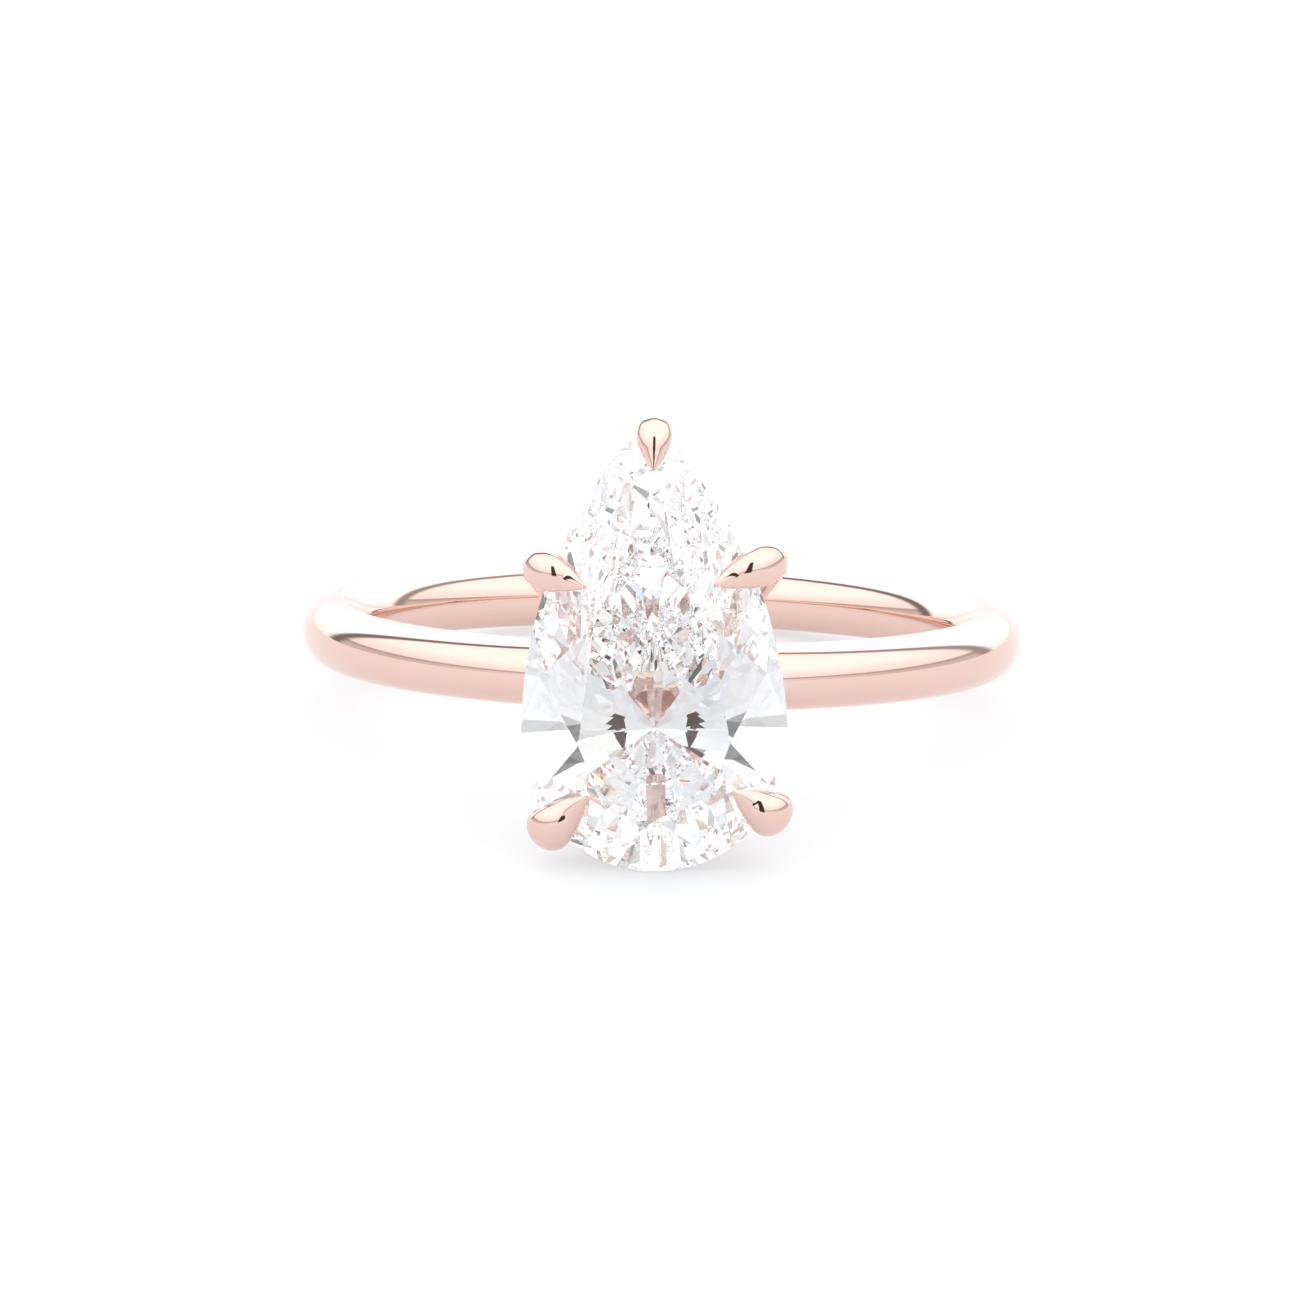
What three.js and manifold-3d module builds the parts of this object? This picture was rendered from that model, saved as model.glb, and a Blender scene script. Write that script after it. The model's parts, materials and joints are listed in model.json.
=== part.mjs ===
// A pear solitaire engagement ring, in millimetres, lying the way it rests on a table.
//
// The ring frame has its origin at the centre of the finger hole, +Z along the finger and the
// head on the -Y side. The head frame has +Z out through the table of the stone, +Y along the
// finger towards the point of the pear, and its origin at the centre of the round end, on the
// girdle plane.

import * as THREE from 'three';
import { mergeVertices } from 'three/addons/utils/BufferGeometryUtils.js';
import Module from 'manifold-3d';

const wasm = await Module();
wasm.setup();

// Band: a round polished wire, US size 6.
const fingerDiameter = 16.5;
const bandThickness = 1.8;
const bandWidth = 1.8;

// Stone: a pear brilliant. The culet stands a little towards the point from the centre of the
// round end.
const stoneWidth = 6.96;
const wingRadius = 11.93;
const pointRadius = 1.0;
const girdleThickness = 0.18;
const crownHeight = 0.97;
const pavilionDepth = 3.1;
const culetOffset = 0.19;
const tableRun = 1.5;
const tableRunAtPoint = 1.58;
const starDepth = 0.65;
const lowerFacetReach = 0.78;

// The way each main facet on the right faces, in degrees from +X. The left side mirrors them.
const crownMains = [90, 17.4, 0, -44, -90];
const pavilionMains = [36, 6.6, -5, -53.3, -90];
const crownHalfShare = 0.25;
const pavilionHalfShare = 0.22;

// Head: where the stone sits on the band, and how the ring lies.
const girdleHeight = 13.5;
const headDrop = 1.04;
const headTwist = THREE.MathUtils.degToRad(2.3);

// Gallery: two pear-shaped rails that hold the five claw legs together.
const galleryScale = 0.71;
const galleryLevel = -1.4;
const galleryWidth = 0.62;
const galleryThickness = 0.55;
const baseScale = 0.36;
const baseLevel = -3.3;
const baseWidth = 0.7;
const baseThickness = 0.7;
const railBevel = 0.14;

// Claws: leg and claw are one wire. It rises from its foot, swells at the girdle and bends over
// the crown as a teardrop drawn out to a point.
const footRadius = 0.34;
const footLevel = -3.25;
const footOutside = 0.22;
const legRadius = 0.4;
const legLevel = -0.75;
const legBulge = 0.3;
const waistLevel = -0.15;
const archHeight = 0.03;
const swellLength = 1.2;
const crownFlatness = 0.82;
const clawTipRadius = 0.07;

const solderGap = 0.02;
const stoneSeatGrowth = 1.008;

const deg = THREE.MathUtils.degToRad;
const bandRadius = fingerDiameter / 2 + bandThickness / 2;
const roundRadius = stoneWidth / 2;
const wingOffset = wingRadius - roundRadius;
const pointCentre = Math.sqrt((wingRadius - pointRadius) ** 2 - wingOffset ** 2);
const pointReach = pointCentre + pointRadius;
const wingEndAngle = Math.atan2(pointCentre, wingOffset);
const wingCross = THREE.MathUtils.radToDeg(Math.acos(wingOffset / wingRadius));
const girdleTop = girdleThickness / 2;
const culetDepth = girdleTop + pavilionDepth;

// Where each claw crosses the girdle, the way its point aims, how far inwards the point reaches,
// half its greatest width, how far its middle line stands outside the girdle, the length of its
// teardrop, and the level of its shoulder.
const claws = [
  {
    name: 'claw_tip',
    at: [0.16, 7.92],
    aim: -92,
    reach: 0.8,
    halfWidth: 0.46,
    outside: 0.26,
    teardrop: 1.0,
    shoulder: 0.12,
  },
  {
    name: 'claw_upper_left',
    at: [-2.63, 4.48],
    aim: -22,
    reach: 0.99,
    halfWidth: 0.56,
    outside: 0.3,
    teardrop: 1.4,
    shoulder: 0.26,
  },
  {
    name: 'claw_upper_right',
    at: [2.66, 4.46],
    aim: 199,
    reach: 1.07,
    halfWidth: 0.56,
    outside: 0.48,
    teardrop: 1.6,
    shoulder: 0.26,
  },
  {
    name: 'claw_lower_left',
    at: [-2.7, -2.2],
    aim: 43,
    reach: 1.24,
    halfWidth: 0.62,
    outside: 0.22,
    teardrop: 1.7,
    shoulder: 0.26,
  },
  {
    name: 'claw_lower_right',
    at: [2.88, -1.95],
    aim: 143,
    reach: 1.08,
    halfWidth: 0.63,
    outside: 0.18,
    teardrop: 1.6,
    shoulder: 0.26,
  },
];

function roseGold() {
  return new THREE.MeshStandardMaterial({ color: '#e6b39d', metalness: 1, roughness: 0.12 });
}

function diamond() {
  return new THREE.MeshStandardMaterial({ color: '#eef3f7', metalness: 0, roughness: 0.02 });
}

// ---- closed geometry to manifold solids and back ----

function weld(geometry) {
  const bare = geometry.clone();
  bare.deleteAttribute('normal');
  bare.deleteAttribute('uv');
  const welded = mergeVertices(bare, 1e-5);
  const index = welded.index.array;
  const kept = [];
  for (let i = 0; i < index.length; i += 3) {
    const [a, b, c] = index.slice(i, i + 3);
    if (a !== b && b !== c && c !== a) kept.push(a, b, c);
  }
  welded.setIndex(kept);
  return welded;
}

function toSolid(geometry) {
  const welded = weld(geometry);
  const mesh = new wasm.Mesh({
    numProp: 3,
    vertProperties: Float32Array.from(welded.attributes.position.array),
    triVerts: Uint32Array.from(welded.index.array),
  });
  return new wasm.Manifold(mesh);
}

function toGeometry(solid) {
  const mesh = solid.getMesh();
  const geometry = new THREE.BufferGeometry();
  geometry.setAttribute('position', new THREE.BufferAttribute(mesh.vertProperties, 3));
  geometry.setIndex(new THREE.BufferAttribute(mesh.triVerts, 1));
  geometry.computeVertexNormals();
  return geometry;
}

// ---- the pear outline ----

// The outline shrunk by a scale about the centre of the round end, then grown by an offset.
function tracePear(path, scale, offset, reversed) {
  const arcs = [
    [0, 0, roundRadius, -Math.PI, 0],
    [-wingOffset, 0, wingRadius, 0, wingEndAngle],
    [0, pointCentre, pointRadius, wingEndAngle, Math.PI - wingEndAngle],
    [wingOffset, 0, wingRadius, Math.PI - wingEndAngle, Math.PI],
  ];
  if (reversed) arcs.reverse();
  for (const [x, y, radius, from, to] of arcs) {
    const r = radius * scale + offset;
    if (reversed) path.absarc(x * scale, y * scale, r, to, from, true);
    else path.absarc(x * scale, y * scale, r, from, to, false);
  }
  return path;
}

// The place on the girdle that faces a way given in degrees from +X, and that way.
function girdleFacing(degrees) {
  const normal = new THREE.Vector2(Math.cos(deg(degrees)), Math.sin(deg(degrees)));
  const lift = Math.atan2(normal.y, Math.abs(normal.x));
  const point = new THREE.Vector2();
  if (lift < 0) {
    point.addScaledVector(normal, roundRadius);
  } else if (lift < wingEndAngle) {
    point.set(-Math.sign(normal.x) * wingOffset, 0).addScaledVector(normal, wingRadius);
  } else {
    point.set(0, pointCentre).addScaledVector(normal, pointRadius);
  }
  return { point, normal };
}

// The ways the mains face all round, clockwise from the right-hand list's first to its mirror.
function allRound(rightMains) {
  const onAxis = (angle) => Math.abs(angle) === 90;
  const left = rightMains.filter((angle) => !onAxis(angle)).reverse();
  return [...rightMains, ...left.map((angle) => -180 - angle)];
}

// ---- the stone ----

const outward = new THREE.Vector3(0, 0, 1);
const grindingBlock = 40;

// Grinds a flat facet: everything on the side that the normal points to is cut away.
function grind(solid, point, normal) {
  const block = new THREE.BoxGeometry(grindingBlock, grindingBlock, grindingBlock);
  block.translate(0, 0, grindingBlock / 2);
  block.applyQuaternion(new THREE.Quaternion().setFromUnitVectors(outward, normal));
  block.translate(point.x, point.y, point.z);
  return solid.subtract(toSolid(block));
}

// Grinds the facet through three points, on the side away from the middle of the stone.
function grindThrough(solid, a, b, c) {
  const normal = b.clone().sub(a).cross(c.clone().sub(a)).normalize();
  const middle = new THREE.Vector3(0, pointCentre / 4, -girdleThickness);
  if (normal.dot(a.clone().sub(middle)) < 0) normal.negate();
  return grind(solid, a, normal);
}

// The point at one height where two neighbouring main facets meet. Each main facet is a straight
// line at that height: normal . p = distance.
function meet(first, second, distanceA, distanceB, height) {
  const cross = first.normal.x * second.normal.y - first.normal.y * second.normal.x;
  const x = (distanceA * second.normal.y - distanceB * first.normal.y) / cross;
  const y = (first.normal.x * distanceB - second.normal.x * distanceA) / cross;
  return new THREE.Vector3(x, y, height);
}

function onGirdle(place, height) {
  return new THREE.Vector3(place.point.x, place.point.y, height);
}

function alongGirdle(place, height) {
  return onGirdle(place, height).add(new THREE.Vector3(-place.normal.y, place.normal.x, 0));
}

// The two half facets between one pair of mains: each is tangent to the girdle and ends at the
// meeting point of the mains. Next to the point of the pear they keep to the wings.
function grindHalves(solid, from, to, halfShare, corner, height) {
  const start = from === 90 ? wingCross : from;
  const stop = to === -270 ? -180 - wingCross : to;
  for (const share of [halfShare, 1 - halfShare]) {
    const place = girdleFacing(THREE.MathUtils.lerp(start, stop, share));
    solid = grindThrough(solid, onGirdle(place, height), alongGirdle(place, height), corner);
  }
  return solid;
}

function tableRunFacing(degrees) {
  return degrees === 90 || degrees === -270 ? tableRunAtPoint : tableRun;
}

function tableCorner(degrees) {
  const { point, normal } = girdleFacing(degrees);
  const corner = point.clone().addScaledVector(normal, -tableRunFacing(degrees));
  return new THREE.Vector3(corner.x, corner.y, girdleTop + crownHeight);
}

// Pairs of neighbouring mains, each as the ways the two face.
function neighbours(mains) {
  return mains.map((from, i) => {
    const to = i + 1 < mains.length ? mains[i + 1] : mains[0] - 360;
    return [from, to];
  });
}

function grindCrown(solid) {
  const share = 1 - starDepth;
  for (const [from, to] of neighbours(allRound(crownMains))) {
    const here = girdleFacing(from);
    const next = girdleFacing(to);
    solid = grindThrough(
      solid,
      onGirdle(here, girdleTop),
      alongGirdle(here, girdleTop),
      tableCorner(from),
    );
    const corner = meet(
      here,
      next,
      here.normal.dot(here.point) - tableRunFacing(from) * share,
      next.normal.dot(next.point) - tableRunFacing(to) * share,
      girdleTop + crownHeight * share,
    );
    solid = grindThrough(solid, tableCorner(from), tableCorner(to), corner);
    solid = grindHalves(solid, from, to, crownHalfShare, corner, girdleTop);
  }
  return grind(solid, new THREE.Vector3(0, 0, girdleTop + crownHeight), outward);
}

function grindPavilion(solid) {
  const culet = new THREE.Vector3(0, culetOffset, -culetDepth);
  const middle = new THREE.Vector2(culet.x, culet.y);
  const share = 1 - lowerFacetReach;
  for (const [from, to] of neighbours(allRound(pavilionMains))) {
    const here = girdleFacing(from);
    const next = girdleFacing(to);
    solid = grindThrough(
      solid,
      onGirdle(here, -girdleTop),
      alongGirdle(here, -girdleTop),
      culet,
    );
    const corner = meet(
      here,
      next,
      here.normal.dot(middle.clone().lerp(here.point, share)),
      next.normal.dot(middle.clone().lerp(next.point, share)),
      -culetDepth + share * pavilionDepth,
    );
    solid = grindHalves(solid, from, to, pavilionHalfShare, corner, -girdleTop);
  }
  return solid;
}

function pearStone() {
  const outline = tracePear(new THREE.Shape(), 1, 0, false);
  const spare = 1;
  const rough = new THREE.ExtrudeGeometry(outline, {
    depth: crownHeight + girdleThickness + pavilionDepth + 2 * spare,
    bevelEnabled: false,
    curveSegments: 16,
  });
  rough.translate(0, 0, -culetDepth - spare);
  return grindPavilion(grindCrown(toSolid(rough)));
}

// ---- the band ----

// A ring of round wire, turned about the finger axis; grow makes it a little fatter all round.
function bandGeometry(grow) {
  const sides = 16;
  const profile = [];
  for (let i = 0; i <= sides; i += 1) {
    const angle = (2 * Math.PI * (i % sides)) / sides;
    const across = bandRadius + (bandThickness / 2 + grow) * Math.cos(angle);
    profile.push(new THREE.Vector2(across, (bandWidth / 2 + grow) * Math.sin(angle)));
  }
  const geometry = new THREE.LatheGeometry(profile, 72);
  geometry.rotateX(Math.PI / 2);
  return geometry;
}

// ---- the gallery ----

// A pear-shaped rail with softened edges, centred on one level below the girdle.
function railGeometry(scale, level, width, thickness, grow) {
  const half = width / 2 + grow - railBevel;
  const shape = tracePear(new THREE.Shape(), scale, half, false);
  shape.holes.push(tracePear(new THREE.Path(), scale, -half, true));
  const depth = thickness + 2 * (grow - railBevel);
  const geometry = new THREE.ExtrudeGeometry(shape, {
    depth,
    curveSegments: 9,
    bevelThickness: railBevel,
    bevelSize: railBevel,
    bevelSegments: 1,
  });
  geometry.translate(0, 0, level - depth / 2);
  return geometry;
}

function galleryGeometry(grow) {
  return railGeometry(galleryScale, galleryLevel, galleryWidth, galleryThickness, grow);
}

function baseGeometry(grow) {
  return railGeometry(baseScale, baseLevel, baseWidth, baseThickness, grow);
}

// ---- the claws ----

function crownLevel(inwards) {
  return girdleTop + (crownHeight / tableRun) * inwards;
}

// The middle line of one claw: up from its foot outside the base rail, round the girdle and
// down to its point on the crown.
function clawSpine(claw) {
  const { outside, reach } = claw;
  const at = new THREE.Vector2(...claw.at);
  const aim = new THREE.Vector2(Math.cos(deg(claw.aim)), Math.sin(deg(claw.aim)));
  const place = (inwards, level) => {
    const spot = at.clone().addScaledVector(aim, inwards);
    return new THREE.Vector3(spot.x, spot.y, level);
  };
  const footSpot = at.clone().setLength(at.length() * baseScale + footOutside);
  const foot = new THREE.Vector3(footSpot.x, footSpot.y, footLevel);
  const waist = place(-outside, waistLevel);
  const leg = waist.clone().lerp(foot, (waistLevel - legLevel) / (waistLevel - footLevel));
  leg.addScaledVector(new THREE.Vector3(aim.x, aim.y, 0), -legBulge);
  const arch = reach / 2;
  return new THREE.CatmullRomCurve3([
    foot,
    leg,
    waist,
    place(-outside * 0.2, claw.shoulder),
    place(arch, crownLevel(arch) + archHeight),
    place(reach, crownLevel(reach) + clawTipRadius / 2),
  ], false, 'centripetal');
}

// Half the width of the claw wire, a distance back from its point: a teardrop that swells to its
// full width, then thins to the leg, and to the foot at the far end.
function clawHalfWidth(claw, fromPoint, length) {
  const { lerp, smoothstep } = THREE.MathUtils;
  const { halfWidth, teardrop } = claw;
  if (fromPoint < teardrop) {
    const swell = Math.sin((Math.PI / 2) * (fromPoint / teardrop));
    return lerp(clawTipRadius, halfWidth, swell);
  }
  const thinning = smoothstep(fromPoint, teardrop, teardrop + swellLength);
  const leg = lerp(legRadius, footRadius, fromPoint / length);
  return lerp(halfWidth, leg, thinning);
}

// A turned bar, closed at both ends, bent along the claw's middle line. Across the aim it keeps
// its full width, and over the crown it is a little flatter.
function clawGeometry(claw) {
  const steps = 26;
  const sides = 14;
  const spine = clawSpine(claw);
  const length = spine.getLength();
  const profile = [new THREE.Vector2(0, 0)];
  for (let i = 0; i <= steps; i += 1) {
    const fromPoint = length * (1 - i / steps);
    profile.push(new THREE.Vector2(clawHalfWidth(claw, fromPoint, length), i / steps));
  }
  profile.push(new THREE.Vector2(0, 1));
  const geometry = new THREE.LatheGeometry(profile, sides);
  const aimSide = new THREE.Vector3(-Math.sin(deg(claw.aim)), Math.cos(deg(claw.aim)), 0);
  const position = geometry.attributes.position;
  const bar = new THREE.Vector3();
  for (let i = 0; i < position.count; i += 1) {
    bar.fromBufferAttribute(position, i);
    const along = THREE.MathUtils.clamp(bar.y, 0, 1);
    const tangent = spine.getTangentAt(along);
    const side = aimSide.clone().addScaledVector(tangent, -aimSide.dot(tangent)).normalize();
    const top = side.clone().cross(tangent);
    const place = spine.getPointAt(along);
    place.addScaledVector(side, bar.x);
    place.addScaledVector(top, bar.z * crownFlatness);
    position.setXYZ(i, place.x, place.y, place.z);
  }
  return geometry;
}

// ---- assembly ----

function part(name, geometry, material) {
  const mesh = new THREE.Mesh(geometry, material);
  mesh.name = name;
  return mesh;
}

// The ring lies on the round end of the stone and the rear of the band. The tilt brings both to
// one level: the head is lowered until the round end is as low as the band's underside.
function lieOnTable(ring) {
  const along = girdleHeight + bandRadius;
  const below = roundRadius + headDrop;
  const reach = Math.hypot(along, below);
  const tilt = Math.atan2(below, along) - Math.asin(bandWidth / 2 / reach);
  ring.rotation.x = -tilt;
  ring.updateMatrixWorld(true);
  const box = new THREE.Box3().setFromObject(ring, true);
  const centre = box.getCenter(new THREE.Vector3());
  ring.position.set(-centre.x, -centre.y, -box.min.z);
}

const ring = new THREE.Group();
const head = new THREE.Group();
head.rotation.set(Math.PI / 2, 0, headTwist);
head.position.set(0, -girdleHeight, -headDrop);
head.updateMatrix();
const ringToHead = head.matrix.clone().invert();

const stone = pearStone();
const stoneSeat = toSolid(
  toGeometry(stone).scale(stoneSeatGrowth, stoneSeatGrowth, stoneSeatGrowth),
);
const bandSeat = toSolid(bandGeometry(solderGap).applyMatrix4(ringToHead));
const gallery = toSolid(galleryGeometry(0)).subtract(stoneSeat);
const base = toSolid(baseGeometry(0)).subtract(bandSeat).subtract(stoneSeat);
const gallerySeat = toSolid(galleryGeometry(solderGap));
const baseSeat = toSolid(baseGeometry(solderGap));

ring.add(part('shank', bandGeometry(0), roseGold()));
head.add(part('base_rail', toGeometry(base), roseGold()));
head.add(part('gallery_rail', toGeometry(gallery), roseGold()));
head.add(part('pear_stone', toGeometry(stone), diamond()));
for (const claw of claws) {
  const solid = toSolid(clawGeometry(claw))
    .subtract(stoneSeat)
    .subtract(gallerySeat)
    .subtract(baseSeat)
    .subtract(bandSeat);
  head.add(part(claw.name, toGeometry(solid), roseGold()));
}
ring.add(head);
lieOnTable(ring);

export default ring;
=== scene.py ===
# A pear solitaire engagement ring in rose gold: the looks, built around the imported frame.
# Lengths are in millimetres until a mesh is made, and in metres from there on.
#
# The ring frame has its origin at the centre of the finger hole, +Z along the finger and the head
# on the -Y side. The head frame has +Z out through the table of the stone, +Y towards the point of
# the pear, and its origin at the centre of the round end, on the girdle plane.
import json
import math

import bmesh
import bpy
from mathutils import Matrix, Vector


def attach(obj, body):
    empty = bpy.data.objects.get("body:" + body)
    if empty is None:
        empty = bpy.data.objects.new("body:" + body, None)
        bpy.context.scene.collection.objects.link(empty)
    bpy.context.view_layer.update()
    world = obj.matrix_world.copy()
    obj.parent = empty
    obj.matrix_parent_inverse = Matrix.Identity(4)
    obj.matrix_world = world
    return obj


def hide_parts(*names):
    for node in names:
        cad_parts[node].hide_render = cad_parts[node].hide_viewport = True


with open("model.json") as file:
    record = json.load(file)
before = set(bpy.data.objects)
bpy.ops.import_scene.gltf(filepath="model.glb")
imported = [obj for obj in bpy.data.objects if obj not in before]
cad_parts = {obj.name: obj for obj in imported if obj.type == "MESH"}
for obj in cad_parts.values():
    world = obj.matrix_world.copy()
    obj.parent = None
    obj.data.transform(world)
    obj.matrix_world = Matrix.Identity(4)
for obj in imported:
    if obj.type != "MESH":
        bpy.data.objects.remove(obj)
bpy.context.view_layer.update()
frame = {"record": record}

MM = 0.001

# ---- driving dimensions: the CAD model's, but for rounder rails and finer points on the claws ----

# Band: round wire, by its middle line and half its thickness.
BAND_RADIUS = 9.15
BAND_WIRE = 0.9

# Stone: a round end, two long arcs for the wings and a small arc at the point.
ROUND_RADIUS = 3.48
WING_RADIUS = 11.93
POINT_RADIUS = 1.0
GIRDLE_TOP = 0.09
CROWN_HEIGHT = 0.97
PAVILION_DEPTH = 3.1
CULET_OFFSET = 0.19
TABLE_RUN = 1.5
TABLE_RUN_AT_POINT = 1.58
STAR_DEPTH = 0.65
LOWER_FACET_REACH = 0.78
CROWN_HALF_SHARE = 0.25
PAVILION_HALF_SHARE = 0.22

# The way each main facet on the right faces, in degrees from +X. The left side mirrors them.
CROWN_MAINS = [90, 17.4, 0, -44, -90]
PAVILION_MAINS = [36, 6.6, -5, -53.3, -90]

WING_OFFSET = WING_RADIUS - ROUND_RADIUS
POINT_CENTRE = math.sqrt((WING_RADIUS - POINT_RADIUS) ** 2 - WING_OFFSET ** 2)
WING_END = math.atan2(POINT_CENTRE, WING_OFFSET)
WING_CROSS = math.degrees(math.acos(WING_OFFSET / WING_RADIUS))
CULET_DEPTH = GIRDLE_TOP + PAVILION_DEPTH

# Head: where the stone sits on the band.
GIRDLE_HEIGHT = 13.5
HEAD_DROP = 1.04
HEAD_TWIST = math.radians(2.3)

# Rails: their size as a share of the girdle's, their level under it, and half their thickness.
GALLERY = {"scale": 0.71, "level": -1.4, "radius": 0.3}
BASE = {"scale": 0.36, "level": -3.3, "radius": 0.35}

# Claws: each is one wire that rises from its foot, swells at the girdle and bends over the crown.
FOOT_RADIUS = 0.34
LEG_RADIUS = 0.4
CLAW_TIP_RADIUS = 0.05
FOOT_LEVEL = -3.25
FOOT_OUTSIDE = 0.22
LEG_LEVEL = -0.75
LEG_BULGE = 0.3
WAIST_LEVEL = -0.15
SHOULDER_OUT_SHARE = 0.2
ARCH_HEIGHT = 0.03
SWELL_LENGTH = 1.2
CROWN_FLATNESS = 0.82

# at: where the claw crosses the girdle, in the head frame. aim: the way its point looks, in degrees.
# reach: how far it goes inwards over the crown. half: half its greatest width. out: how far it stands
# off the girdle. teardrop: the length of its swelling. shoulder: its level where it turns inwards.
CLAWS = {
    "claw_tip": {
        "at": (0.16, 7.92), "aim": -92, "reach": 0.8, "half": 0.46, "out": 0.26, "teardrop": 1.0,
        "shoulder": 0.12,
    },
    "claw_upper_left": {
        "at": (-2.63, 4.48), "aim": -22, "reach": 0.99, "half": 0.56, "out": 0.3, "teardrop": 1.4,
        "shoulder": 0.26,
    },
    "claw_upper_right": {
        "at": (2.66, 4.46), "aim": 199, "reach": 1.07, "half": 0.56, "out": 0.48, "teardrop": 1.6,
        "shoulder": 0.26,
    },
    "claw_lower_left": {
        "at": (-2.7, -2.2), "aim": 43, "reach": 1.24, "half": 0.62, "out": 0.22, "teardrop": 1.7,
        "shoulder": 0.26,
    },
    "claw_lower_right": {
        "at": (2.88, -1.95), "aim": 143, "reach": 1.08, "half": 0.63, "out": 0.18, "teardrop": 1.6,
        "shoulder": 0.26,
    },
}

# ---- how fine the meshes are ----

BAND_STEPS = 320
BAND_SIDES = 64
RAIL_SPACING = 0.12
RAIL_SIDES = 28
CLAW_STEPS = 110
CLAW_SIDES = 56
STONE_SPACING = 0.12
SEAT_SPACING = 0.3
SEAT_GROWTH = 1.004
CRISP_ANGLE = 35
SPLINE_STEPS = 40
CUT_TOLERANCE = 1e-5
TABLE_SIZE = 900


# ---- the ring's own frames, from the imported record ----

def mount(name):
    """The position (mm) and direction of one of the record's mounts."""
    found = next(m for m in frame["record"]["mounts"] if m["name"] == name)
    return Vector(found["pos_m"]) / MM, Vector(found["axis"]).normalized()


RING_CENTRE, FINGER_AXIS = mount("finger_hole")
UP = Vector((0, 0, 1))
TILT = math.atan2(FINGER_AXIS.y, FINGER_AXIS.z)
RING = Matrix.Translation(RING_CENTRE) @ Matrix.Rotation(-TILT, 4, "X")
HEAD = (
    RING
    @ Matrix.Translation((0, -GIRDLE_HEIGHT, -HEAD_DROP))
    @ Matrix.Rotation(math.pi / 2, 4, "X")
    @ Matrix.Rotation(HEAD_TWIST, 4, "Z")
)


# ---- meshes ----

def new_object(name, bm, matrix, smooth=True):
    """Turns a bmesh in millimetres into an object in metres."""
    bm.transform(Matrix.Scale(MM, 4) @ matrix)
    bmesh.ops.recalc_face_normals(bm, faces=bm.faces[:])
    if smooth:
        for face in bm.faces:
            face.smooth = True
    mesh = bpy.data.meshes.new(name)
    bm.to_mesh(mesh)
    bm.free()
    piece = bpy.data.objects.new(name, mesh)
    bpy.context.scene.collection.objects.link(piece)
    return piece


def loft(rings, closed):
    """A skin over rings of points: joined end to end when closed, else capped at both ends."""
    bm = bmesh.new()
    loops = [[bm.verts.new(point) for point in ring] for ring in rings]
    count = len(loops[0])
    last = len(loops) if closed else len(loops) - 1
    for i in range(last):
        here = loops[i]
        there = loops[(i + 1) % len(loops)]
        for j in range(count):
            k = (j + 1) % count
            bm.faces.new((here[j], here[k], there[k], there[j]))
    if not closed:
        bm.faces.new(loops[0])
        bm.faces.new(loops[-1])
    return bm


def section(centre, side, top, half_width, half_height, count):
    """A ring of points, an ellipse in the plane of side and top."""
    points = []
    for i in range(count):
        angle = 2 * math.pi * i / count
        across = side * (half_width * math.cos(angle))
        points.append(centre + across + top * (half_height * math.sin(angle)))
    return points


def spline(points, count):
    """Evenly spaced points along a smooth curve through the given ones."""
    ends = [points[0] * 2 - points[1]] + points + [points[-1] * 2 - points[-2]]
    dense = []
    for p0, p1, p2, p3 in zip(ends, ends[1:], ends[2:], ends[3:]):
        for i in range(SPLINE_STEPS):
            dense.append(centripetal(p0, p1, p2, p3, i / SPLINE_STEPS))
    dense.append(points[-1])
    lengths = [0]
    for a, b in zip(dense, dense[1:]):
        lengths.append(lengths[-1] + (b - a).length)
    out = []
    k = 0
    for i in range(count):
        want = lengths[-1] * i / (count - 1)
        while k < len(lengths) - 2 and lengths[k + 1] < want:
            k += 1
        share = (want - lengths[k]) / max(lengths[k + 1] - lengths[k], 1e-9)
        out.append(dense[k].lerp(dense[k + 1], share))
    return out


def centripetal(p0, p1, p2, p3, share):
    """One point of the centripetal Catmull-Rom curve from p1 to p2."""
    t0 = 0
    t1 = t0 + math.sqrt((p1 - p0).length)
    t2 = t1 + math.sqrt((p2 - p1).length)
    t3 = t2 + math.sqrt((p3 - p2).length)
    t = t1 + (t2 - t1) * share
    a1 = p0.lerp(p1, (t - t0) / (t1 - t0))
    a2 = p1.lerp(p2, (t - t1) / (t2 - t1))
    a3 = p2.lerp(p3, (t - t2) / (t3 - t2))
    b1 = a1.lerp(a2, (t - t0) / (t2 - t0))
    b2 = a2.lerp(a3, (t - t1) / (t3 - t1))
    return b1.lerp(b2, (t - t1) / (t2 - t1))


def smoothstep(value, low, high):
    """Rises smoothly from 0 at low to 1 at high."""
    share = min(max((value - low) / (high - low), 0), 1)
    return share * share * (3 - 2 * share)


# ---- the pear outline ----

def pear_outline(scale, spacing):
    """Points round the pear, shrunk by a scale about the centre of the round end."""
    arcs = [
        (0, 0, ROUND_RADIUS, -math.pi, 0),
        (-WING_OFFSET, 0, WING_RADIUS, 0, WING_END),
        (0, POINT_CENTRE, POINT_RADIUS, WING_END, math.pi - WING_END),
        (WING_OFFSET, 0, WING_RADIUS, math.pi - WING_END, math.pi),
    ]
    points = []
    for x, y, radius, start, stop in arcs:
        shrunk = radius * scale
        steps = max(2, round(shrunk * (stop - start) / spacing))
        for i in range(steps):
            angle = start + (stop - start) * i / steps
            points.append((x * scale + shrunk * math.cos(angle), y * scale + shrunk * math.sin(angle)))
    return points


def girdle_facing(degrees):
    """The place on the girdle that faces a way given in degrees from +X, and that way."""
    angle = math.radians(degrees)
    normal = Vector((math.cos(angle), math.sin(angle)))
    lift = math.atan2(normal.y, abs(normal.x))
    if lift < 0:
        return normal * ROUND_RADIUS, normal
    if lift < WING_END:
        return normal * WING_RADIUS - Vector((math.copysign(WING_OFFSET, normal.x), 0)), normal
    return normal * POINT_RADIUS + Vector((0, POINT_CENTRE)), normal


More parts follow.
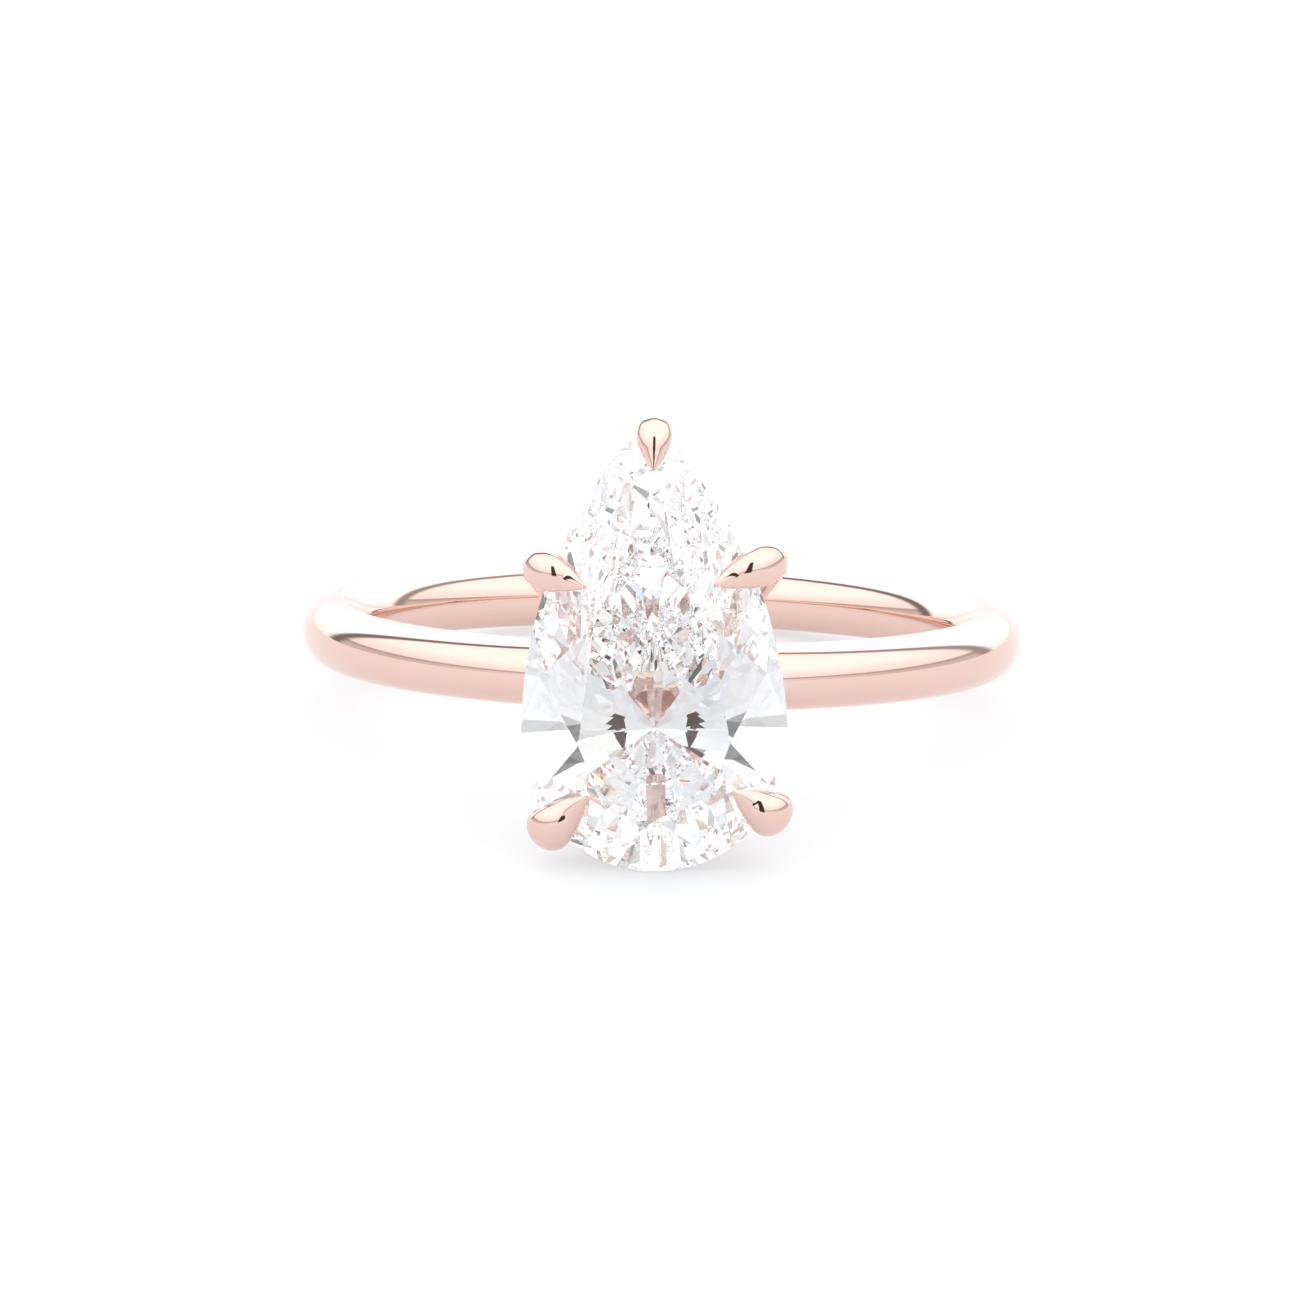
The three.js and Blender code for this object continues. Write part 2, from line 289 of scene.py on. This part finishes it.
def all_round(right_mains):
    """The ways the mains face all round: the right-hand ones, clockwise, then their mirrors."""
    left = [-180 - angle for angle in reversed(right_mains) if abs(angle) != 90]
    return right_mains + left


def neighbours(mains):
    """Pairs of neighbouring mains, each as the ways the two face."""
    return list(zip(mains, mains[1:] + [mains[0] - 360]))


# ---- the stone, ground facet by facet ----

def grind(bm, point, normal):
    """Cuts away everything on the side that the normal points to and closes the cut flat."""
    cut = bmesh.ops.bisect_plane(
        bm,
        geom=bm.verts[:] + bm.edges[:] + bm.faces[:],
        dist=CUT_TOLERANCE,
        plane_co=point,
        plane_no=normal,
        clear_outer=True,
    )
    edges = [e for e in cut["geom_cut"] if isinstance(e, bmesh.types.BMEdge) and e.is_boundary]
    if edges:
        bmesh.ops.contextual_create(bm, geom=edges)


def grind_through(bm, a, b, c):
    """Grinds the facet through three points, on the side away from the middle of the stone."""
    normal = (b - a).cross(c - a).normalized()
    middle = Vector((0, POINT_CENTRE / 4, -GIRDLE_TOP * 2))
    if normal.dot(a - middle) < 0:
        normal.negate()
    grind(bm, a, normal)


def meet(first, second, distance_a, distance_b, height):
    """The point at one height where two main facets meet; each is a line normal . p = distance."""
    cross = first.x * second.y - first.y * second.x
    x = (distance_a * second.y - distance_b * first.y) / cross
    y = (first.x * distance_b - second.x * distance_a) / cross
    return Vector((x, y, height))


def on_girdle(degrees, height):
    """The place on the girdle that faces a way, at a height."""
    point, _ = girdle_facing(degrees)
    return Vector((point.x, point.y, height))


def along_girdle(degrees, height):
    """A place beside on_girdle, along the girdle's tangent."""
    _, normal = girdle_facing(degrees)
    return on_girdle(degrees, height) + Vector((-normal.y, normal.x, 0))


def grind_halves(bm, start, stop, share, corner, height):
    """The two half facets between one pair of mains, each tangent to the girdle. Next to the
    point of the pear they keep to the wings."""
    if start == 90:
        start = WING_CROSS
    if stop == -270:
        stop = -180 - WING_CROSS
    for part in (share, 1 - share):
        facing = start + (stop - start) * part
        grind_through(bm, on_girdle(facing, height), along_girdle(facing, height), corner)


def table_run(degrees):
    """How far the table's corner lies inside the girdle, at the main that faces a way."""
    return TABLE_RUN_AT_POINT if degrees in (90, -270) else TABLE_RUN


def table_corner(degrees):
    """The corner of the table over the main that faces a way."""
    point, normal = girdle_facing(degrees)
    corner = point - normal * table_run(degrees)
    return Vector((corner.x, corner.y, GIRDLE_TOP + CROWN_HEIGHT))


def grind_crown(bm):
    """Mains, stars and halves all round, then the table."""
    share = 1 - STAR_DEPTH
    for start, stop in neighbours(all_round(CROWN_MAINS)):
        here, here_normal = girdle_facing(start)
        there, there_normal = girdle_facing(stop)
        first = on_girdle(start, GIRDLE_TOP)
        grind_through(bm, first, along_girdle(start, GIRDLE_TOP), table_corner(start))
        corner = meet(
            here_normal,
            there_normal,
            here_normal.dot(here) - table_run(start) * share,
            there_normal.dot(there) - table_run(stop) * share,
            GIRDLE_TOP + CROWN_HEIGHT * share,
        )
        grind_through(bm, table_corner(start), table_corner(stop), corner)
        grind_halves(bm, start, stop, CROWN_HALF_SHARE, corner, GIRDLE_TOP)
    grind(bm, UP * (GIRDLE_TOP + CROWN_HEIGHT), UP)


def grind_pavilion(bm):
    """Mains that run to the culet, and halves between them."""
    culet = Vector((0, CULET_OFFSET, -CULET_DEPTH))
    share = 1 - LOWER_FACET_REACH
    for start, stop in neighbours(all_round(PAVILION_MAINS)):
        here, here_normal = girdle_facing(start)
        there, there_normal = girdle_facing(stop)
        first = on_girdle(start, -GIRDLE_TOP)
        grind_through(bm, first, along_girdle(start, -GIRDLE_TOP), culet)
        corner = meet(
            here_normal,
            there_normal,
            here_normal.dot(culet.xy.lerp(here, share)),
            there_normal.dot(culet.xy.lerp(there, share)),
            -CULET_DEPTH + share * PAVILION_DEPTH,
        )
        grind_halves(bm, start, stop, PAVILION_HALF_SHARE, corner, -GIRDLE_TOP)


def stone_mesh(spacing):
    """The pear brilliant as a bmesh, in the head frame."""
    top = GIRDLE_TOP + CROWN_HEIGHT + 1
    bottom = -CULET_DEPTH - 1
    outline = pear_outline(1, spacing)
    low = [Vector((x, y, bottom)) for x, y in outline]
    high = [Vector((x, y, top)) for x, y in outline]
    bm = loft([low, high], False)
    bmesh.ops.recalc_face_normals(bm, faces=bm.faces[:])
    grind_crown(bm)
    grind_pavilion(bm)
    return bm


def pear_stone():
    """The stone itself, with flat facets and sharp edges."""
    return new_object("pear_diamond", stone_mesh(STONE_SPACING), HEAD, smooth=False)


def stone_seat():
    """A slightly grown stone that the claws and the rails are cut with, to seat the real one."""
    growth = Matrix.Scale(SEAT_GROWTH, 4)
    return new_object("seat_cutter", stone_mesh(SEAT_SPACING), HEAD @ growth, smooth=False)


def cut_seat(piece, cutter):
    """Cuts the seat out of a piece for good."""
    modifier = piece.modifiers.new("seat", "BOOLEAN")
    modifier.operation = "DIFFERENCE"
    modifier.solver = "EXACT"
    modifier.use_self = True
    modifier.object = cutter
    apply_modifiers(piece)


def apply_modifiers(piece):
    """Keeps the modified mesh and drops the modifiers."""
    bpy.context.view_layer.update()
    evaluated = piece.evaluated_get(bpy.context.evaluated_depsgraph_get())
    mesh = bpy.data.meshes.new_from_object(evaluated)
    old = piece.data
    piece.modifiers.clear()
    piece.data = mesh
    mesh.name = old.name
    bpy.data.meshes.remove(old)


def crease_sharp_edges(piece):
    """Smooth shading, with the edges of the seat left crisp."""
    piece.data.shade_smooth()
    piece.data.set_sharp_from_angle(angle=math.radians(CRISP_ANGLE))


# ---- the metal pieces ----

def shank():
    """The band: round wire turned about the finger axis."""
    rings = []
    for i in range(BAND_STEPS):
        angle = 2 * math.pi * i / BAND_STEPS
        outwards = Vector((math.cos(angle), math.sin(angle), 0))
        centre = outwards * BAND_RADIUS
        rings.append(section(centre, outwards, UP, BAND_WIRE, BAND_WIRE, BAND_SIDES))
    return new_object("band", loft(rings, True), RING)


def rail(name, spec):
    """A pear-shaped rail of round wire at one level under the girdle."""
    outline = pear_outline(spec["scale"], RAIL_SPACING)
    rings = []
    count = len(outline)
    for i, (x, y) in enumerate(outline):
        before = Vector(outline[i - 1])
        after = Vector(outline[(i + 1) % count])
        tangent = (after - before).normalized()
        outwards = Vector((tangent.y, -tangent.x, 0))
        centre = Vector((x, y, spec["level"]))
        radius = spec["radius"]
        rings.append(section(centre, outwards, UP, radius, radius, RAIL_SIDES))
    return new_object(name, loft(rings, True), HEAD)


def crown_level(inwards):
    """The level of the crown's slope, a distance inwards from the girdle."""
    return GIRDLE_TOP + CROWN_HEIGHT / TABLE_RUN * inwards


def claw_spine(claw):
    """The middle line of a claw: up from its foot, round the girdle, down to its point."""
    angle = math.radians(claw["aim"])
    aim = Vector((math.cos(angle), math.sin(angle), 0))
    at = Vector((*claw["at"], 0))

    def place(inwards, level):
        return at + aim * inwards + UP * level

    foot = at * BASE["scale"] + at.normalized() * FOOT_OUTSIDE + UP * FOOT_LEVEL
    out = claw["out"]
    waist = place(-out, WAIST_LEVEL)
    leg = waist.lerp(foot, (WAIST_LEVEL - LEG_LEVEL) / (WAIST_LEVEL - FOOT_LEVEL))
    reach = claw["reach"]
    return spline([
        foot,
        leg - aim * LEG_BULGE,
        waist,
        place(-out * SHOULDER_OUT_SHARE, claw["shoulder"]),
        place(reach / 2, crown_level(reach / 2) + ARCH_HEIGHT),
        place(reach, crown_level(reach) + CLAW_TIP_RADIUS / 2),
    ], CLAW_STEPS)


def claw_half_width(claw, from_point, length):
    """Half the width of the claw wire, a distance back from its point: a teardrop that swells to
    its full width, then thins to the leg, and to the foot at the far end."""
    if from_point < claw["teardrop"]:
        swell = math.sin(math.pi / 2 * from_point / claw["teardrop"])
        return CLAW_TIP_RADIUS + (claw["half"] - CLAW_TIP_RADIUS) * swell
    thinning = smoothstep(from_point, claw["teardrop"], claw["teardrop"] + SWELL_LENGTH)
    leg = LEG_RADIUS + (FOOT_RADIUS - LEG_RADIUS) * from_point / length
    return claw["half"] + (leg - claw["half"]) * thinning


def claw(name):
    """One claw: a skin over oval sections along its middle line."""
    spec = CLAWS[name]
    spine = claw_spine(spec)
    last = len(spine) - 1
    length = sum((b - a).length for a, b in zip(spine, spine[1:]))
    angle = math.radians(spec["aim"])
    aim_side = Vector((-math.sin(angle), math.cos(angle), 0))
    rings = []
    for i, centre in enumerate(spine):
        from_point = length * (1 - i / last)
        tangent = (spine[min(i + 1, last)] - spine[max(i - 1, 0)]).normalized()
        side = (aim_side - tangent * aim_side.dot(tangent)).normalized()
        top = side.cross(tangent)
        half = claw_half_width(spec, from_point, length)
        rings.append(section(centre, side, top, half, half * CROWN_FLATNESS, CLAW_SIDES))
    return new_object(name + "_polished", loft(rings, False), HEAD)


# ---- materials ----

def link(tree, source, target):
    """Feeds one node's result into another node."""
    tree.links.new(source, target)


def new_material(name):
    """A material with its node tree and its shader."""
    material = bpy.data.materials.new(name)
    material.use_nodes = True
    tree = material.node_tree
    return material, tree, tree.nodes["Principled BSDF"]


def noise(tree, place, scale, detail):
    """Clouds of numbers round a half; a greater scale makes them smaller."""
    node = tree.nodes.new("ShaderNodeTexNoise")
    node.inputs["Scale"].default_value = scale
    node.inputs["Detail"].default_value = detail
    link(tree, place, node.inputs["Vector"])
    return node.outputs["Fac"]


def colour_between(tree, value, low, high, low_at=0, high_at=1):
    """The colour low where the value is low_at or less, and high where it is high_at or more."""
    node = tree.nodes.new("ShaderNodeValToRGB")
    first, second = node.color_ramp.elements
    first.position = low_at
    first.color = (*low, 1)
    second.position = high_at
    second.color = (*high, 1)
    link(tree, value, node.inputs["Fac"])
    return node.outputs["Color"]


def between(tree, value, low, high):
    """A number that goes from low to high as the value goes from 0 to 1."""
    node = tree.nodes.new("ShaderNodeMapRange")
    node.inputs["To Min"].default_value = low
    node.inputs["To Max"].default_value = high
    link(tree, value, node.inputs["Value"])
    return node.outputs["Result"]


def rose_gold():
    """Mirror polish: a warm pink metal with faint polishing lines and a breath of tarnish."""
    material, tree, shader = new_material("rose_gold_polish")
    shader.inputs["Metallic"].default_value = 1
    coords = tree.nodes.new("ShaderNodeTexCoord").outputs["Object"]

    tarnish = noise(tree, coords, 400, 3)
    tint = colour_between(tree, tarnish, (0.785, 0.555, 0.485), (0.815, 0.585, 0.515))
    link(tree, tint, shader.inputs["Base Color"])
    link(tree, between(tree, tarnish, 0.03, 0.09), shader.inputs["Roughness"])

    stretch = tree.nodes.new("ShaderNodeMapping")
    stretch.inputs["Scale"].default_value = (400, 400, 30)
    link(tree, coords, stretch.inputs["Vector"])
    bump = tree.nodes.new("ShaderNodeBump")
    bump.inputs["Strength"].default_value = 0.02
    bump.inputs["Distance"].default_value = 0.00002
    link(tree, noise(tree, stretch.outputs["Vector"], 60, 6), bump.inputs["Height"])
    link(tree, bump.outputs["Normal"], shader.inputs["Normal"])
    return material


def diamond():
    """Near-colourless diamond: a breath of tint that wanders through it, and facets whose polish
    differs by a hair from place to place."""
    material, tree, shader = new_material("diamond")
    shader.inputs["Transmission Weight"].default_value = 1
    shader.inputs["IOR"].default_value = 2.417
    coords = tree.nodes.new("ShaderNodeTexCoord").outputs["Object"]

    clouds = noise(tree, coords, 700, 2)
    tint = colour_between(tree, clouds, (0.785, 0.81, 0.845), (0.86, 0.855, 0.845), 0.35, 0.65)
    link(tree, tint, shader.inputs["Base Color"])
    link(tree, between(tree, clouds, 0, 0.004), shader.inputs["Roughness"])
    return material


def light_table():
    """A white table that glows evenly, so that shadows on it stay faint."""
    material, _, shader = new_material("light_table")
    shader.inputs["Base Color"].default_value = (0.35, 0.355, 0.365, 1)
    shader.inputs["Roughness"].default_value = 0.9
    shader.inputs["Specular IOR Level"].default_value = 0.1
    shader.inputs["Emission Color"].default_value = (0.985, 0.99, 1, 1)
    shader.inputs["Emission Strength"].default_value = 0.57
    return material


# ---- the studio ----

def table_top():
    """The plain pale floor that the ring lies on."""
    bm = bmesh.new()
    bmesh.ops.create_grid(bm, x_segments=2, y_segments=2, size=TABLE_SIZE)
    floor = new_object("table_top", bm, Matrix.Identity(4))
    floor.data.materials.append(light_table())


class Sky:
    """Builds the white light tent round the ring as a pattern over directions."""

    def __init__(self):
        world = bpy.data.worlds.new("light_tent")
        bpy.context.scene.world = world
        world.use_nodes = True
        self.tree = world.node_tree
        coords = self.tree.nodes.new("ShaderNodeTexCoord")
        parts = self.tree.nodes.new("ShaderNodeSeparateXYZ")
        link(self.tree, coords.outputs["Generated"], parts.inputs["Vector"])
        self.x = parts.outputs["X"]
        self.y = parts.outputs["Y"]
        self.z = parts.outputs["Z"]

    def math(self, operation, *values):
        """One sum on numbers or on other nodes' results."""
        node = self.tree.nodes.new("ShaderNodeMath")
        node.operation = operation
        for socket, value in zip(node.inputs, values):
            if isinstance(value, (int, float)):
                socket.default_value = value
            else:
                link(self.tree, value, socket)
        return node.outputs["Value"]

    def step(self, value, low, high):
        """Rises smoothly from 0 at low to 1 at high."""
        node = self.tree.nodes.new("ShaderNodeMapRange")
        node.interpolation_type = "SMOOTHSTEP"
        node.inputs["From Min"].default_value = low
        node.inputs["From Max"].default_value = high
        link(self.tree, value, node.inputs["Value"])
        return node.outputs["Result"]

    def window(self, value, low, high, soft):
        """1 between low and high, 0 elsewhere, with soft edges."""
        up = self.step(value, low - soft, low + soft)
        down = self.step(value, high - soft, high + soft)
        return self.math("SUBTRACT", up, down)

    def mix(self, below, above, share):
        """below where share is 0, above where it is 1."""
        gap = self.math("SUBTRACT", above, below)
        return self.math("MULTIPLY_ADD", share, gap, below)

    def patch(self, turn, elevation, at_turn, at_elevation, half):
        """1 over a small square of the tent and 0 elsewhere."""
        wide = self.window(turn, at_turn - half, at_turn + half, 1)
        tall = self.window(elevation, at_elevation - half, at_elevation + half, 1)
        return self.math("MULTIPLY", wide, tall)

    def tint(self, below, above, share):
        """The colour below where share is 0, and above where it is 1."""
        node = self.tree.nodes.new("ShaderNodeMixRGB")
        link(self.tree, share, node.inputs["Fac"])
        for name, colour in (("Color1", below), ("Color2", above)):
            if isinstance(colour, tuple):
                node.inputs[name].default_value = colour
            else:
                link(self.tree, colour, node.inputs[name])
        return node.outputs["Color"]

    def dot(self, direction):
        """How far the view direction goes along the given one."""
        x = self.math("MULTIPLY", self.x, direction[0])
        xy = self.math("MULTIPLY_ADD", self.y, direction[1], x)
        return self.math("MULTIPLY_ADD", self.z, direction[2], xy)


# Brightness of the tent's parts. The first of each pair is straight ahead, low down or to the left.
# Places on the tent are in degrees: the turn to the right from straight ahead, and the elevation.
TABLE_LEVEL_LIGHT = (1.18, 0.78)
FRONT_LIGHT = (1.3, 1.7)
BEHIND_LIGHT = (1.5, 2.2)
SKIRT_DARK = 0.6
SEAM_DARK = (0.25, 0.45)
SLIT_DARK = 0.06
SLIT_TURN = (-7.5, 9.5)
SLIT_ELEVATION = (0, 46)
SLIT_SOFT = 2
WARM_PATCH = {"turn": 24, "elevation": 31, "half": 2.5, "colour": (1, 0.84, 0.45, 1)}
COOL_PATCH = {"turn": -29, "elevation": 36, "half": 3, "colour": (0.62, 0.78, 1, 1)}


def front_of_tent(sky, turn, elevation):
    """The tent ahead of the stone: it brightens upwards, over a grey skirt that meets the table."""
    off_middle = sky.step(sky.math("ABSOLUTE", turn), 20, 90)
    low = sky.mix(*TABLE_LEVEL_LIGHT, off_middle)
    high = sky.mix(*FRONT_LIGHT, sky.step(elevation, 8, 40))
    front = sky.mix(low, high, sky.step(elevation, 8, 10))
    return sky.mix(front, SKIRT_DARK, sky.window(elevation, 6, 10, 1))


def off_back_wall(sky):
    """Degrees in front of the back wall, which wraps round both sides and slopes overhead."""
    beside = math.radians(50)
    overhead = math.radians(23)
    aside = sky.math("ABSOLUTE", sky.x)
    ahead = sky.math("MULTIPLY", sky.y, -math.sin(beside))
    off_side = sky.math("MULTIPLY_ADD", aside, math.cos(beside), ahead)
    off_top = sky.dot((0, -math.cos(overhead), math.sin(overhead)))
    nearest = sky.math("SMOOTH_MAX", off_side, off_top, 0.2)
    return sky.math("DEGREES", sky.math("ARCSINE", nearest))


def light_tent():
    """A white tent: its front and its brighter back wall meet in a dark seam, the camera looks in
    through a dark slit, and two small tinted patches give the stone its sparks of colour."""
    sky = Sky()
    elevation = sky.math("DEGREES", sky.math("ARCSINE", sky.z))
    forward = sky.math("MULTIPLY", sky.y, -1)
    turn = sky.math("DEGREES", sky.math("ARCTAN2", sky.x, forward))

    off_wall = off_back_wall(sky)
    behind = sky.mix(*BEHIND_LIGHT, sky.step(elevation, 2, 15))
    level = sky.mix(behind, front_of_tent(sky, turn, elevation), sky.step(off_wall, 0, 4))
    seam = sky.mix(*SEAM_DARK, sky.step(sky.x, -0.3, 0.3))
    level = sky.mix(level, seam, sky.window(off_wall, -3, 6, 3))

    wide = sky.window(turn, *SLIT_TURN, SLIT_SOFT)
    tall = sky.window(elevation, *SLIT_ELEVATION, SLIT_SOFT)
    level = sky.mix(level, SLIT_DARK, sky.math("MULTIPLY", wide, tall))

    colour = (1, 1, 1, 1)
    for patch in (WARM_PATCH, COOL_PATCH):
        share = sky.patch(turn, elevation, patch["turn"], patch["elevation"], patch["half"])
        colour = sky.tint(colour, patch["colour"], share)

    background = sky.tree.nodes["Background"]
    link(sky.tree, colour, background.inputs["Color"])
    link(sky.tree, level, background.inputs["Strength"])


def camera():
    """A long lens from the head side, a little above the ring and a touch to the right."""
    distance = 200
    above_ring_plane = math.radians(7.45)
    turn = math.radians(0.64)
    roll = math.radians(0.98)
    shift = Vector((0.32, 0.456))
    elevation = TILT + above_ring_plane
    back = Vector((
        math.sin(turn) * math.cos(elevation),
        -math.cos(turn) * math.cos(elevation),
        math.sin(elevation),
    ))
    level_right = Vector((math.cos(turn), math.sin(turn), 0))
    level_up = back.cross(level_right)
    right = level_right * math.cos(roll) + level_up * math.sin(roll)
    up = level_up * math.cos(roll) - level_right * math.sin(roll)
    place = RING_CENTRE + back * distance - right * shift.x - up * shift.y
    data = bpy.data.cameras.new("camera")
    data.sensor_width = 36
    data.lens = 198
    data.clip_start = 0.005
    data.clip_end = 10
    eye = bpy.data.objects.new("camera", data)
    bpy.context.scene.collection.objects.link(eye)
    turned = Matrix((right, up, back)).transposed().to_4x4()
    eye.matrix_world = Matrix.Translation(place * MM) @ turned
    bpy.context.scene.camera = eye


def picture_settings():
    """Plain colours, and enough bounces for the light to find its way out of the stone."""
    scene = bpy.context.scene
    scene.view_settings.view_transform = "Standard"
    scene.view_settings.look = "None"
    stone_bounces = 64
    scene.cycles.max_bounces = stone_bounces
    scene.cycles.transmission_bounces = stone_bounces
    scene.cycles.glossy_bounces = stone_bounces
    scene.cycles.diffuse_bounces = 4


# ---- assembly ----

camera()
picture_settings()
table_top()
light_tent()

gold = rose_gold()
seat = stone_seat()

pieces = {
    "shank": shank(),
    "gallery_rail": rail("gallery_wire", GALLERY),
    "base_rail": rail("base_wire", BASE),
}
for name in CLAWS:
    pieces[name] = claw(name)
for name, piece in pieces.items():
    if name != "shank":
        cut_seat(piece, seat)
        crease_sharp_edges(piece)
    piece.data.materials.clear()
    piece.data.materials.append(gold)
    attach(piece, "root")
    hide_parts(name)
bpy.data.objects.remove(seat)

stone = pear_stone()
stone.data.materials.append(diamond())
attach(stone, "root")
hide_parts("pear_stone")
